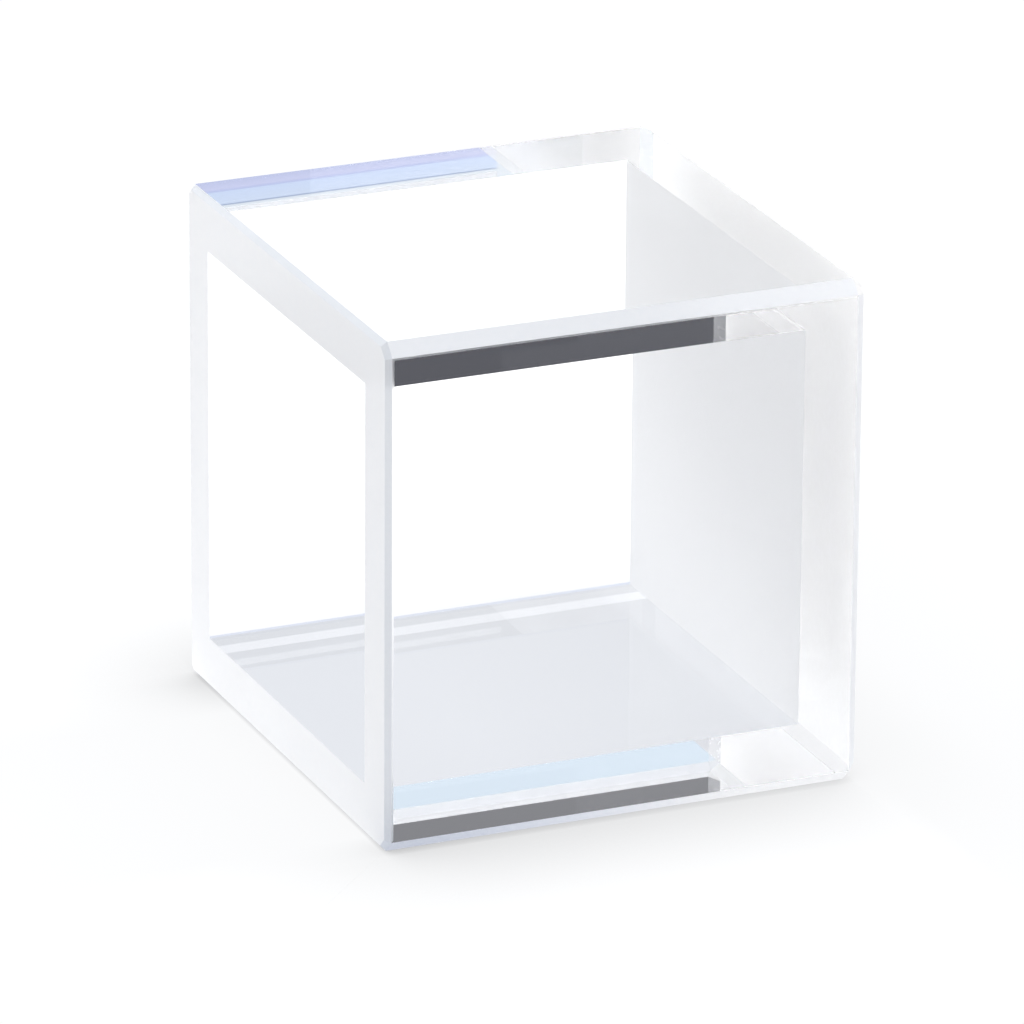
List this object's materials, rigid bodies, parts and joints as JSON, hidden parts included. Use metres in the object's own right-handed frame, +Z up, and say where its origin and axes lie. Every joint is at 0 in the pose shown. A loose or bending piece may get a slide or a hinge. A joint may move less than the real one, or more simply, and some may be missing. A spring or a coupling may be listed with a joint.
{
  "type": "cuvette",
  "caption": "Short square glass cell with clear polished side walls, a ground open rim and a frosted closed end, lying on its side; it holds a liquid sample in a light path.",
  "frame": {"origin": "under the middle of the body, on the outside of the side wall it lies on", "axes": "+Z up; X along the cell, open rim towards -X and closed end towards +X; Y across the two upright side walls"},
  "size_m": [0.0122, 0.0126, 0.0127],
  "materials": {
    "glass": "polished side walls, fine-ground rim, edges and closed end"
  },
  "bodies": {
    "root": {"cuvette_body": "glass"}
  },
  "joints": []
}
